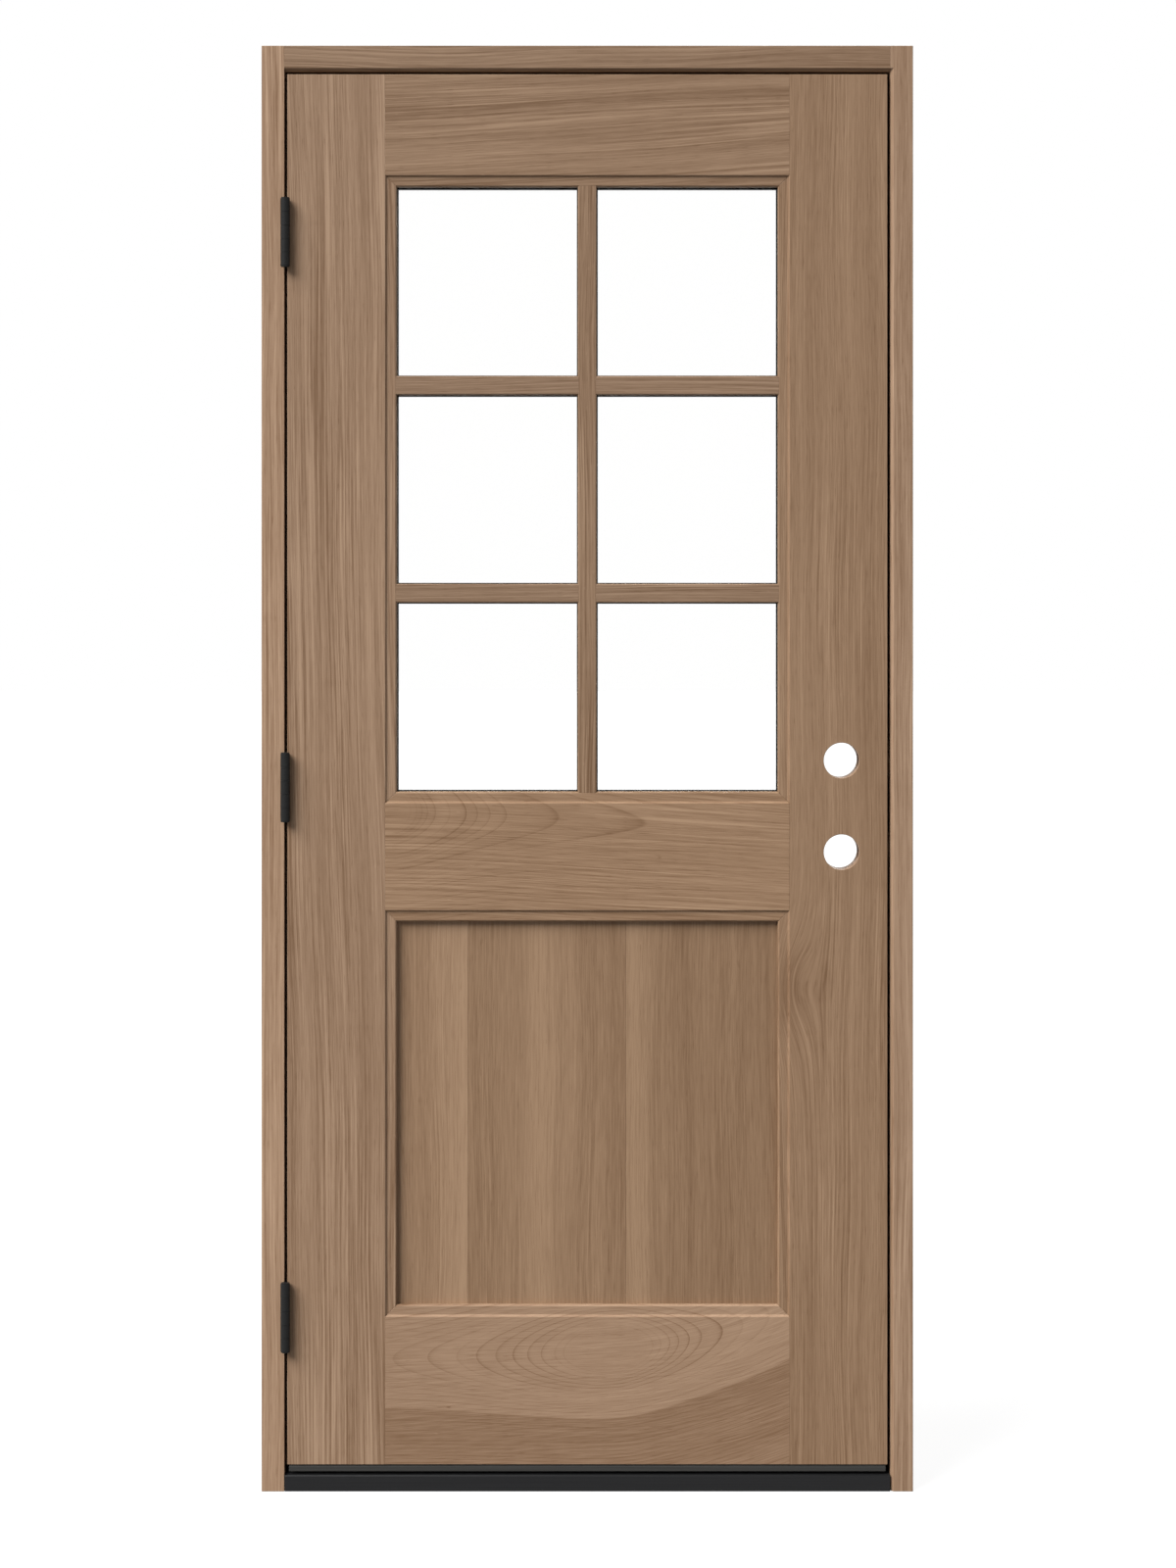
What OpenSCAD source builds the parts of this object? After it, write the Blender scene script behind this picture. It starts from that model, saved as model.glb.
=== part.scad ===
// Pre-hung glazed front door: a stile-and-rail slab with six lites over a flat panel,
// hung on three butt hinges in a rabbeted timber frame with an aluminium sill.
// X runs across the door with the hinges at -X, Y runs from the outside to the inside, Z is up.
// The origin is on the floor, midway between the jambs and midway through their depth.

/* [Door slab] */
// Width of the slab
slab_w = 914.4; // [860:0.1:960]
// Height of the slab
slab_h = 2118; // [2080:1:2180]
// Thickness of the slab
slab_t = 44.45; // [43.5:0.05:46]
// Height of the slab's underside above the floor
slab_lift = 41; // [40:0.5:44]
// Face width of each stile
stile_w = 149.2; // [140:0.1:160]
// Face height of the top rail
top_rail_h = 153.7; // [135:0.1:175]
// Face height of the lock rail
lock_rail_h = 163; // [150:0.1:175]
// Face height of the bottom rail
bottom_rail_h = 225; // [205:0.1:250]
// Height of the bay that holds the glass
glass_bay_h = 957; // [900:1:1000]

/* [Sticking] */
// Width of the bevelled step beside a stile or rail face
step_w = 2.5; // [1.5:0.1:3.5]
// Depth of that step below the face
step_d = 3; // [2:0.1:3.5]
// Width of the flat band inside the step
band_w = 13; // [11:0.1:15]
// Size of the bevelled inner arris
arris = 2; // [1:0.1:2.5]
// Depth of the groove that holds the panel
groove_d = 12; // [9:0.1:13]

/* [Panel] */
// Thickness of the flat panel
panel_t = 18.7; // [17:0.1:19.5]
// Clearance between a panel face and the groove wall
panel_clear = 0.17; // [0.1:0.01:0.3]
// Room for movement between a panel edge and the groove bottom
panel_end_gap = 0.8; // [0.4:0.1:0.9]
// Place of the seam between the hinge-side stave and the middle one
seam_left_x = -182; // [-210:1:-150]
// Place of the seam between the middle stave and the lock-side one
seam_right_x = 59; // [30:1:90]

/* [Dowel joints] */
// Diameter of a dowel
dowel_d = 15.9; // [12:0.1:17]
// Length of a dowel
dowel_l = 120; // [100:1:126]
// Radial glue clearance round a dowel
dowel_clear = 0.1; // [0.05:0.01:0.2]
// Glue space at each end of a dowel
dowel_end_gap = 2; // [1:0.1:3]
// Distance from the middle of the top rail and the lock rail to their dowels
dowel_reach = 50; // [48:0.5:52]
// Distance from the bottom rail's edges to its outer dowels
bottom_dowel_in = 46; // [44:0.5:50]

/* [Glazing] */
// Thickness of one pane
pane_t = 3.2; // [3:0.1:3.6]
// Width of the sealed cavity between the panes
cavity = 12.7; // [12:0.1:13]
// Thickness of the glazing tape on each side of the glass
tape_t = 1.2; // [0.8:0.1:1.4]
// Width of the glazing tape
tape_w = 8; // [6:0.1:10]
// Step from the edge of the glass bay to the wall of its rabbet
rabbet_in = 3; // [2:0.1:4]
// Height of the setting blocks, which is the edge clearance of the glass
block_h = 3; // [2:0.1:4]
// Length of a setting block
block_l = 60; // [40:1:90]
// Width of the black seal round the edge of the glass
edge_seal_w = 3.4; // [3:0.1:4]
// How far the dark spacer and grid inside the glass show beside the wood
sight_line = 1.5; // [1:0.1:2]
// Width of a muntin bar
muntin_w = 29; // [24:0.1:34]
// Bevel on the long edges of a muntin bar
muntin_ease = 1.5; // [0.8:0.1:2]
// Thickness of the metal grid inside the glass
grid_t = 11.5; // [10:0.1:11.8]
// How far the tape stops short of the moulding's edge
tape_in = 1; // [0.5:0.1:1.5]

/* [Lock preparation] */
// Diameter of the two face bores
lock_bore_d = 53.975; // [52:0.005:55]
// Distance from the lock edge to the axis of the bores
backset = 69.85; // [66:0.05:75]
// Height of the lower bore above the middle of the lock rail
latch_up = 7; // [0:0.5:10]
// Distance between the two face bores
bore_spacing = 139.7; // [130:0.1:150]
// Diameter of the edge bores and of the bores in the strike jamb
latch_bore_d = 25.4; // [23:0.1:26]
// Height of the recess for a latch or strike plate
plate_h = 57.15; // [52:0.05:62]
// Width of that recess
plate_w = 28; // [27:0.1:30]
// Corner radius of that recess
plate_r = 6.35; // [4:0.05:8]
// Depth of the recess in the lock edge
face_plate_d = 4; // [3:0.1:5]
// Depth of the recess in the strike jamb
strike_plate_d = 1.6; // [1:0.1:2.5]

/* [Frame] */
// Thickness of a jamb beside the slab
jamb_t = 34.6; // [32:0.1:40]
// Thickness of the head above the slab
head_t = 39.1; // [36:0.1:44]
// Depth of the frame through the wall
frame_d = 116; // [112:0.5:125]
// How far the stop stands out from the rabbet
stop_t = 12.7; // [12:0.1:14]
// Depth of the rabbet in front of the stop
rabbet_d = 50.8; // [50.4:0.1:53]
// How far the slab's face lies behind the front of the frame
slab_inset = 1; // [0.5:0.1:1.5]
// Gap beside and above the slab
slab_gap = 4.4; // [4:0.1:5]
// Bevel on the inner arris of the strike jamb and the head
frame_bevel = 5; // [3:0.1:7]

/* [Weatherstrip] */
// Width of the kerf that holds the weatherstrip
kerf_w = 3; // [2.6:0.1:3.4]
// Depth of that kerf
kerf_d = 11; // [9:0.1:13]
// Distance from the rabbet to the kerf
kerf_in = 2; // [1.5:0.1:2.5]
// Clearance of the barb in its kerf
barb_clear = 0.3; // [0.2:0.01:0.4]
// Clearance between a seal and the closed slab
seal_clear = 0.3; // [0.3:0.05:0.8]
// Inset of the weatherstrip from the stop's edge
seal_in = 0.8; // [0.5:0.1:1]

/* [Sill] */
// Height of the sill's front nose
nose_h = 24.8; // [24:0.1:25.2]
// Radius of the nose's top edge
nose_r = 2; // [1:0.1:2.4]
// Height of the deck under the slab
deck_h = 26; // [25.5:0.1:26.2]
// Run from the nose to the level part of the deck
deck_ramp = 8; // [6:0.5:12]
// Wall thickness of the aluminium sections
sill_wall = 2.4; // [2:0.1:2.8]
// Height of the saddle's back edge
saddle_back_h = 22; // [18:0.5:26]
// Depth of the saddle's flat top
saddle_top_d = 15; // [12:0.5:20]
// Thickness of the saddle's front wall
riser_t = 6.5; // [6:0.1:8]
// Depth of the bumper's groove below the saddle's top
seal_slot_in = 8; // [7:0.1:9]
// Clearance between the sill and the jambs
sill_end_gap = 0.3; // [0.1:0.05:0.6]

/* [Door bottom] */
// Inset of the sweep from each edge of the slab
sweep_inset = 2.5; // [2:0.1:5]
// Depth of the shadow line between the slab and the sweep
sweep_shadow_d = 2; // [1:0.1:3]
// Height of that shadow line
sweep_shadow_h = 3; // [2:0.1:4]
// Height of the sweep below that line
sweep_h = 7.7; // [7:0.1:8.5]
// Wall thickness of the sweep
sweep_wall = 2.4; // [2:0.1:2.8]
// Inset of the sweep from the slab's front face
sweep_front_in = 0.5; // [0.2:0.1:1]
// Inset of the sweep from the slab's back face
sweep_back_in = 2; // [1:0.1:3]
// Thickness of a sweep fin
fin_t = 1.6; // [1.2:0.1:2]
// Distance between the two sweep fins
fin_pitch = 18; // [14:0.5:22]
// Clearance between the fins and the deck
fin_clear = 0.5; // [0.4:0.05:0.8]

/* [Hinges] */
// Height of a hinge
hinge_h = 101.6; // [95:0.1:108]
// Width of a leaf from the pin's axis
leaf_w = 44.45; // [42:0.05:46]
// Thickness of a leaf
leaf_t = 2.5; // [2.3:0.1:2.8]
// Corner radius of a leaf
leaf_r = 6.35; // [4:0.05:8]
// Clearance between a leaf and the floor of its recess
leaf_bed = 0.05; // [0.03:0.01:0.1]
// Distance from the slab's face to the pin's axis
pin_proud = 9; // [8.8:0.1:10]
// Radius of the barrel
barrel_r = 7.1; // [6.8:0.05:7.4]
// Radius of the pin
pin_r = 3.2; // [3:0.05:3.4]
// Running clearance between the pin and a knuckle
pin_clear = 0.05; // [0.03:0.01:0.08]
// Gap between two knuckles
knuckle_gap = 0.4; // [0.35:0.05:0.6]
// Clearance cut in a leaf round the other leaf's knuckles
leaf_notch = 0.6; // [0.4:0.05:0.8]
// Thickness of the button on each end of a pin
button_h = 2; // [1.5:0.1:3]
// How much smaller than the barrel that button is
button_in = 0.6; // [0.3:0.1:1]
// Distance from the slab's top to the middle of the top hinge
top_hinge_in = 241.5; // [220:0.5:260]
// Distance from the slab's underside to the middle of the middle hinge
middle_hinge_up = 1032.3; // [1000:0.1:1060]
// Distance from the slab's underside to the middle of the bottom hinge
bottom_hinge_up = 226; // [215:0.5:245]

/* [Fasteners] */
// Radius of a hinge screw's shank
hinge_screw_r = 2.2; // [2:0.05:2.4]
// Length of a hinge screw
hinge_screw_l = 28; // [22:0.5:30]
// Radius of a frame screw's shank
frame_screw_r = 2.5; // [2.2:0.05:2.8]
// Length of a frame screw
frame_screw_l = 75; // [65:1:85]
// Radius of a sweep screw's shank
sweep_screw_r = 1.9; // [1.7:0.05:2.1]
// Length of a sweep screw
sweep_screw_l = 20; // [16:0.5:24]
// Distance from the slab's edge to its outer sweep screws
sweep_screw_in = 77.2; // [70:0.1:85]
// Distance from the frame's front to the first head screw
head_screw_in = 16; // [12:0.5:20]
// Distance from the frame's back to the last head screw and sill screw
back_screw_in = 18; // [14:0.5:24]
// Distance of the middle head screw in front of the stop, and of the first sill screw behind it
stop_screw_in = 11; // [9:0.5:13]
// Height of the sill screws
sill_screw_z = 10; // [8:0.5:12]
// Clearance round a screw
screw_clear = 0.15; // [0.1:0.01:0.25]

/* [Hidden] */
$fn = 64;
// Overshoot that lets a cut pass cleanly through a face
eps = 1;
// Screw head radius as a multiple of its shank, and its drive slot's width and depth
screw_head = 1.9;
slot_share = 0.45;
slot_d = 1.2;

stick_w = step_w + band_w + arris;
bay_w = slab_w - 2 * stile_w;
panel_bay_h = slab_h - top_rail_h - glass_bay_h - lock_rail_h - bottom_rail_h;
panel_z = slab_lift + bottom_rail_h;
lock_rail_z = panel_z + panel_bay_h;
glass_z = lock_rail_z + lock_rail_h;
top_rail_z = glass_z + glass_bay_h;
slab_top = slab_lift + slab_h;

front_y = -frame_d / 2;
back_y = frame_d / 2;
slab_y = front_y + slab_inset;
slab_mid_y = slab_y + slab_t / 2;
stop_y = front_y + rabbet_d;
rabbet_x = slab_w / 2 + slab_gap;
stop_x = rabbet_x - stop_t;
frame_x = rabbet_x + jamb_t;
rabbet_z = slab_top + slab_gap;
stop_z = rabbet_z - stop_t;
frame_h = rabbet_z + head_t;
seal_t = rabbet_d - slab_inset - slab_t - seal_clear;

groove_w = panel_t + 2 * panel_clear;
lip_t = (slab_t - groove_w) / 2;
groove_u = stick_w - groove_d;
glass_t = 2 * pane_t + cavity;
glass_u = rabbet_in + block_h;
glass_y = lip_t + tape_t;
bead_y = glass_y + glass_t + tape_t;
bead_t = slab_t - step_d - bead_y;
clear_h = glass_bay_h - 2 * stick_w;
clear_w = bay_w - 2 * stick_w;
lite_h = (clear_h - 2 * muntin_w) / 3;
// Heights of the two rows of bars above the bottom of the clear opening
bar_rows = [lite_h + muntin_w / 2, 2 * lite_h + 1.5 * muntin_w];

lock_x = slab_w / 2 - backset;
latch_z = lock_rail_z + lock_rail_h / 2 + latch_up;
bore_heights = [latch_z, latch_z + bore_spacing];

pin_x = -(slab_w + slab_gap) / 2;
pin_y = slab_y - pin_proud;
top_hinge_z = slab_top - top_hinge_in;
middle_hinge_z = slab_lift + middle_hinge_up;
bottom_hinge_z = slab_lift + bottom_hinge_up;
hinge_heights = [top_hinge_z, middle_hinge_z, bottom_hinge_z];
knuckle_h = (hinge_h - 4 * knuckle_gap) / 5;
FRAME_KNUCKLES = [0, 2, 4];
DOOR_KNUCKLES = [1, 3];
// Each hinge screw's place on a leaf: distance from the pin and height from the leaf's middle
leaf_screws = [for (i = [0:3]) [leaf_w * (i % 2 == 0 ? 0.42 : 0.74), hinge_h * (i - 1.5) / 4]];

top_dowels = [for (s = [-1, 1]) top_rail_z + top_rail_h / 2 + s * dowel_reach];
lock_dowels = [for (s = [-1, 1]) lock_rail_z + lock_rail_h / 2 + s * dowel_reach];
bottom_dowels = [slab_lift + bottom_dowel_in, slab_lift + bottom_rail_h / 2,
  panel_z - bottom_dowel_in];
all_dowels = concat(top_dowels, lock_dowels, bottom_dowels);

sweep_top = slab_lift - sweep_shadow_h;
sweep_bottom = sweep_top - sweep_h;
sweep_front = slab_y + sweep_front_in;
sweep_back = slab_y + slab_t - sweep_back_in;
sweep_screw_y = (sweep_front + sweep_back) / 2;
fin_ys = [for (s = [-1, 1]) sweep_screw_y + s * fin_pitch / 2];
sweep_screw_xs = [for (i = [-2:2]) i / 2 * (slab_w / 2 - sweep_screw_in)];
head_screw_ys = [front_y + head_screw_in, stop_y - stop_screw_in, back_y - back_screw_in];
head_screw_z = rabbet_z + head_t / 2;
sill_screw_ys = [stop_y + stop_screw_in, back_y - back_screw_in];
saddle_top = slab_lift + stop_t;

OAK = [0.59, 0.48, 0.38];
BLACK = [0.11, 0.11, 0.11];
DARK = [0.18, 0.18, 0.18];
GREY = [0.30, 0.30, 0.29];
STEEL = [0.62, 0.62, 0.60];

// A block between two opposite corners
module block(a, b) {
  translate(a) cube(b - a);
}

// A Y-Z outline drawn out along X, centred on the door
module across(len) {
  translate([-len / 2, 0, 0]) rotate([90, 0, 90]) linear_extrude(len) children();
}

// A frame of rectangular section round the glass bay, from u0 to u1 inside the bay's edge
module bay_ring(u0, u1, y0, y1) {
  difference() {
    block([u0 - bay_w / 2, slab_y + y0, glass_z + u0],
      [bay_w / 2 - u0, slab_y + y1, top_rail_z - u0]);
    block([u1 - bay_w / 2, slab_y + y0 - eps, glass_z + u1],
      [bay_w / 2 - u1, slab_y + y1 + eps, top_rail_z - u1]);
  }
}

// A rectangle in the Y-Z plane with round corners, drawn out along X
module rounded_slot(len_x, w, h, r) {
  for (s = [-1, 1], t = [-1, 1])
    translate([0, s * (w / 2 - r), t * (h / 2 - r)]) rotate([0, 90, 0]) cylinder(h = len_x, r = r);
  block([0, -w / 2, r - h / 2], [len_x, w / 2, h / 2 - r]);
  block([0, r - w / 2, -h / 2], [len_x, w / 2 - r, h / 2]);
}

// A moulding run up Z with both ends mitred: X goes into the bay, Y into the slab
module mitred(len, w) {
  intersection() {
    linear_extrude(len) children();
    translate([0, slab_t + eps, 0]) rotate([90, 0, 0]) linear_extrude(slab_t + 2 * eps)
      polygon([[0, 0], [w, w], [w, len - w], [0, len]]);
  }
}

// Section of the moulded edge beside the panel, with the groove
module panel_section() {
  polygon([[0, 0], [step_w, step_d], [stick_w - arris, step_d], [stick_w, step_d + arris],
    [stick_w, lip_t], [groove_u, lip_t], [groove_u, slab_t - lip_t], [stick_w, slab_t - lip_t],
    [stick_w, slab_t - step_d - arris], [stick_w - arris, slab_t - step_d],
    [step_w, slab_t - step_d], [0, slab_t]]);
}

// Section of the moulded edge beside the glass, rabbeted at the back
module glass_section() {
  polygon([[0, 0], [step_w, step_d], [stick_w - arris, step_d], [stick_w, step_d + arris],
    [stick_w, lip_t], [rabbet_in, lip_t], [rabbet_in, slab_t], [0, slab_t]]);
}

// Section of a back glazing bead
module bead_section() {
  w = stick_w - rabbet_in;
  polygon([[0, bead_y], [w, bead_y], [w, bead_y + bead_t - arris], [w - arris, bead_y + bead_t],
    [0, bead_y + bead_t]]);
}

// Moves a moulding so that it runs along X and points up or down from a rail's edge
module along_rail(len, z, up) {
  translate([(up ? 1 : -1) * len / 2, slab_y, z]) rotate([0, up ? -90 : 90, 0]) children();
}

// Countersunk screw, its head at the origin and its shank along Z
module screw_body(len, r, grow) {
  head_r = r * screw_head + grow;
  head_h = head_r - r - grow;
  cylinder(h = head_h, r1 = head_r, r2 = r + grow);
  cylinder(h = len + grow, r = r + grow);
}

module screw(len, r) {
  difference() {
    screw_body(len, r, 0);
    for (a = [0, 90])
      rotate([0, 0, a]) block([-r * slot_share / 2, -r, -eps], [r * slot_share / 2, r, slot_d]);
  }
}

module screw_hole(len, r) {
  screw_body(len, r, screw_clear);
}

// Puts its child at each hinge screw of one leaf: side is -1 for the frame and 1 for the slab
module at_leaf_screws(side) {
  for (z = hinge_heights, p = leaf_screws)
    translate([pin_x + side * slab_gap / 2, pin_y + p[0], z + p[1]]) rotate([0, side * 90, 0]) children();
}

// Outline of a leaf as a plate of thickness t, drawn on the +X side of the pin
module leaf_plate(t, grow) {
  h = hinge_h + 2 * grow;
  w = leaf_w + grow;
  translate([slab_gap / 2, 0, 0]) {
    block([0, 0, -h / 2], [t, w - leaf_r, h / 2]);
    translate([0, w / 2, 0]) rounded_slot(t, w, h, leaf_r);
  }
}

// Moves its child to the pin of each hinge
module at_hinges(heights) {
  for (z = heights) translate([pin_x, pin_y, z]) children();
}

// Recesses for the hinge leaves in a stile or jamb: side as for the screws
module leaf_mortises(side) {
  at_hinges(hinge_heights) mirror([side < 0 ? 1 : 0, 0, 0])
    translate([-leaf_bed, 0, 0]) leaf_plate(leaf_t + 2 * leaf_bed, screw_clear);
  at_leaf_screws(side) screw_hole(hinge_screw_l, hinge_screw_r);
}

function knuckle_z(i) = -hinge_h / 2 + i * (knuckle_h + knuckle_gap);

// A hinge leaf with its own knuckles, cut clear of the other leaf's
module hinge_leaf(own, other) {
  difference() {
    union() {
      leaf_plate(leaf_t, 0);
      for (i = own) translate([0, 0, knuckle_z(i)]) cylinder(h = knuckle_h, r = barrel_r);
    }
    for (i = other)
      translate([0, 0, knuckle_z(i) - knuckle_gap])
        cylinder(h = knuckle_h + 2 * knuckle_gap, r = barrel_r + leaf_notch);
    translate([0, 0, -hinge_h]) cylinder(h = 2 * hinge_h, r = pin_r + pin_clear);
    for (p = leaf_screws)
      translate([slab_gap / 2, p[0], p[1]]) rotate([0, 90, 0]) screw_hole(hinge_screw_l, hinge_screw_r);
  }
}

module frame_leaf(z) {
  color(BLACK) at_hinges([z]) mirror([1, 0, 0]) hinge_leaf(FRAME_KNUCKLES, DOOR_KNUCKLES);
}

module door_leaf(z) {
  color(BLACK) at_hinges([z]) hinge_leaf(DOOR_KNUCKLES, FRAME_KNUCKLES);
}

// A hinge pin with a button on each end
module pin(z) {
  color(BLACK) at_hinges([z]) {
    translate([0, 0, -hinge_h / 2 - button_h / 2]) cylinder(h = hinge_h + button_h, r = pin_r);
    for (s = [-1, 1])
      translate([0, 0, s * (hinge_h / 2 + button_h / 2) - button_h / 2])
        cylinder(h = button_h, r = barrel_r - button_in);
  }
}

// Section of a kerf-in weatherstrip: X from the rabbet, Y from the stop towards the slab
module seal_section() {
  bulb_r = seal_t / 2;
  x0 = seal_in;
  x1 = stop_t - seal_in;
  translate([x0 + bulb_r, 0]) square([x1 - x0 - 2 * bulb_r, seal_t]);
  translate([x0, 0]) square([bulb_r, bulb_r]);
  for (x = [x0 + bulb_r, x1 - bulb_r]) translate([x, bulb_r]) circle(r = bulb_r);
  translate([kerf_in + barb_clear, barb_clear - kerf_d])
    square([kerf_w - 2 * barb_clear, kerf_d]);
}

// One jamb without its rabbet's furniture, on the +X side
module jamb_blank() {
  block([rabbet_x, front_y, 0], [frame_x, stop_y, frame_h]);
  block([stop_x, stop_y, 0], [frame_x, back_y, frame_h]);
}

// The kerf and fixing holes that both jambs have, on the +X side
module jamb_cuts() {
  block([rabbet_x - kerf_in - kerf_w, stop_y - eps, deck_h],
    [rabbet_x - kerf_in, stop_y + kerf_d, rabbet_z]);
  at_jamb_screws() screw_hole(frame_screw_l, frame_screw_r);
}

module at_jamb_screws() {
  at_head_screws() children();
  at_sill_screws() children();
}

module at_head_screws() {
  for (y = head_screw_ys) translate([frame_x, y, head_screw_z]) rotate([0, -90, 0]) children();
}

module at_sill_screws() {
  for (y = sill_screw_ys) translate([frame_x, y, sill_screw_z]) rotate([0, -90, 0]) children();
}

module both_sides() {
  children();
  mirror([1, 0, 0]) children();
}

module hinge_jamb() {
  color(OAK) difference() {
    mirror([1, 0, 0]) difference() {
      jamb_blank();
      jamb_cuts();
    }
    leaf_mortises(-1);
  }
}

// Bevel along the strike jamb's front arris, stopped where it meets the head's bevel
module strike_bevel() {
  intersection() {
    translate([0, 0, -eps]) linear_extrude(frame_h + 2 * eps)
      polygon([[rabbet_x - eps, front_y - eps], [rabbet_x + frame_bevel + eps, front_y - eps],
        [rabbet_x - eps, front_y + frame_bevel + eps]]);
    across(2 * frame_x) polygon([[front_y - eps, -eps], [front_y - eps, rabbet_z + frame_bevel + eps],
      [front_y + frame_bevel, rabbet_z], [front_y + frame_bevel + 2 * eps, rabbet_z],
      [front_y + frame_bevel + 2 * eps, -eps]]);
  }
}

module strike_jamb() {
  color(OAK) difference() {
    jamb_blank();
    jamb_cuts();
    strike_bevel();
    for (z = bore_heights) translate([rabbet_x, slab_mid_y, z]) {
      translate([-eps, 0, 0]) rounded_slot(strike_plate_d + eps, plate_w, plate_h, plate_r);
      rotate([0, 90, 0]) cylinder(h = jamb_t + eps, d = latch_bore_d);
    }
  }
}

module head_jamb() {
  color(OAK) difference() {
    union() {
      block([-rabbet_x, front_y, rabbet_z], [rabbet_x, stop_y, frame_h]);
      block([-stop_x, stop_y, stop_z], [stop_x, back_y, frame_h]);
    }
    across(2 * frame_x) polygon([[front_y - eps, rabbet_z - eps],
      [front_y - eps, rabbet_z + frame_bevel + eps], [front_y + frame_bevel + eps, rabbet_z - eps]]);
    block([-frame_x, stop_y - eps, rabbet_z - kerf_in - kerf_w],
      [frame_x, stop_y + kerf_d, rabbet_z - kerf_in]);
    both_sides() at_head_screws() screw_hole(frame_screw_l, frame_screw_r);
  }
}

module strike_side_seal() {
  color(DARK) translate([rabbet_x, stop_y, deck_h + seal_clear]) rotate([0, 0, 180])
    linear_extrude(rabbet_z - deck_h - 2 * seal_clear) seal_section();
}

module hinge_side_seal() {
  mirror([1, 0, 0]) strike_side_seal();
}

module head_seal() {
  len = 2 * (stop_x - seal_clear);
  color(DARK) translate([len / 2, stop_y, rabbet_z]) rotate([0, 90, 180])
    linear_extrude(len) seal_section();
}

// Lengths of the sill's pieces in front of the stops and between them
sill_front_l = 2 * (rabbet_x - sill_end_gap);
sill_back_l = 2 * (stop_x - sill_end_gap);
saddle_y = stop_y + saddle_top_d;
base_top = deck_h - sill_wall;
base_front = front_y + sill_wall;

module sill_base() {
  color(DARK) difference() {
    union() {
      across(sill_front_l) polygon([[base_front, 0], [stop_y - eps, 0], [stop_y - eps, base_top],
        [front_y + deck_ramp, base_top], [base_front, nose_h - nose_r - sill_wall]]);
      across(sill_back_l) polygon([[stop_y - eps, 0], [back_y - sill_wall, 0],
        [back_y - sill_wall, saddle_back_h - sill_wall], [saddle_y, saddle_top - sill_wall],
        [stop_y + riser_t, saddle_top - sill_wall], [stop_y + riser_t, base_top], [stop_y - eps, base_top]]);
    }
    both_sides() at_sill_screws() screw_hole(frame_screw_l, frame_screw_r);
  }
}

module sill_deck() {
  color(DARK) {
    across(sill_front_l) {
      translate([front_y + nose_r, nose_h - nose_r]) circle(r = nose_r);
      polygon([[front_y, 0], [front_y, nose_h - nose_r], [front_y + nose_r, nose_h - nose_r],
        [front_y + nose_r, nose_h], [front_y + deck_ramp, deck_h], [stop_y - eps, deck_h],
        [stop_y - eps, base_top], [front_y + deck_ramp, base_top],
        [base_front, nose_h - nose_r - sill_wall], [base_front, 0]]);
    }
    across(sill_back_l) translate([stop_y - eps, base_top]) square([riser_t + eps, sill_wall]);
  }
}

// Height of the bumper's groove in the saddle's front wall
seal_slot_z = saddle_top - seal_slot_in;

module sill_saddle() {
  color(DARK) across(sill_back_l) difference() {
    polygon([[stop_y, deck_h], [stop_y, saddle_top - nose_r], [stop_y + nose_r, saddle_top],
      [saddle_y, saddle_top], [back_y, saddle_back_h], [back_y, 0], [back_y - sill_wall, 0],
      [back_y - sill_wall, saddle_back_h - sill_wall], [saddle_y, saddle_top - sill_wall],
      [stop_y + riser_t, saddle_top - sill_wall], [stop_y + riser_t, deck_h]]);
    translate([stop_y - eps, seal_slot_z]) square([eps + riser_t - sill_wall, kerf_w]);
  }
}

module sill_seal() {
  slot_len = riser_t - sill_wall - barb_clear;
  color(BLACK) across(sill_back_l) {
    translate([stop_y - seal_t / 2, seal_slot_z + kerf_w / 2]) circle(r = seal_t / 2);
    translate([stop_y - seal_t / 2, seal_slot_z + barb_clear])
      square([seal_t / 2 + slot_len, kerf_w - 2 * barb_clear]);
  }
}

module head_screws() {
  color(STEEL) both_sides() at_head_screws() screw(frame_screw_l, frame_screw_r);
}

module sill_screws() {
  color(STEEL) both_sides() at_sill_screws() screw(frame_screw_l, frame_screw_r);
}

module top_hinge_frame_leaf() {
  frame_leaf(top_hinge_z);
}

module middle_hinge_frame_leaf() {
  frame_leaf(middle_hinge_z);
}

module bottom_hinge_frame_leaf() {
  frame_leaf(bottom_hinge_z);
}

module top_hinge_pin() {
  pin(top_hinge_z);
}

module middle_hinge_pin() {
  pin(middle_hinge_z);
}

module bottom_hinge_pin() {
  pin(bottom_hinge_z);
}

module hinge_frame_screws() {
  color(BLACK) at_leaf_screws(-1) screw(hinge_screw_l, hinge_screw_r);
}

// Dowel bores on the +X side of the bay, at the given heights
module dowel_bores(heights) {
  len = dowel_l + 2 * dowel_end_gap;
  for (z = heights)
    translate([bay_w / 2 - len / 2, slab_mid_y, z]) rotate([0, 90, 0])
      cylinder(h = len, d = dowel_d + 2 * dowel_clear);
}

module sweep_screw_holes() {
  for (x = sweep_screw_xs)
    translate([x, sweep_screw_y, slab_lift - eps])
      cylinder(h = sweep_screw_l + eps, r = sweep_screw_r + screw_clear);
}

// A stile on the +X side, with its moulded edges and dowel bores
module stile_blank() {
  difference() {
    union() {
      block([bay_w / 2, slab_y, slab_lift], [slab_w / 2, slab_y + slab_t, slab_top]);
      mirror([1, 0, 0]) translate([-bay_w / 2, slab_y, 0]) {
        translate([0, 0, panel_z]) mitred(panel_bay_h, stick_w) panel_section();
        translate([0, 0, glass_z]) mitred(glass_bay_h, stick_w) glass_section();
      }
    }
    dowel_bores(all_dowels);
    sweep_screw_holes();
  }
}

module hinge_stile() {
  color(OAK) difference() {
    mirror([1, 0, 0]) stile_blank();
    leaf_mortises(1);
  }
}

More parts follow.
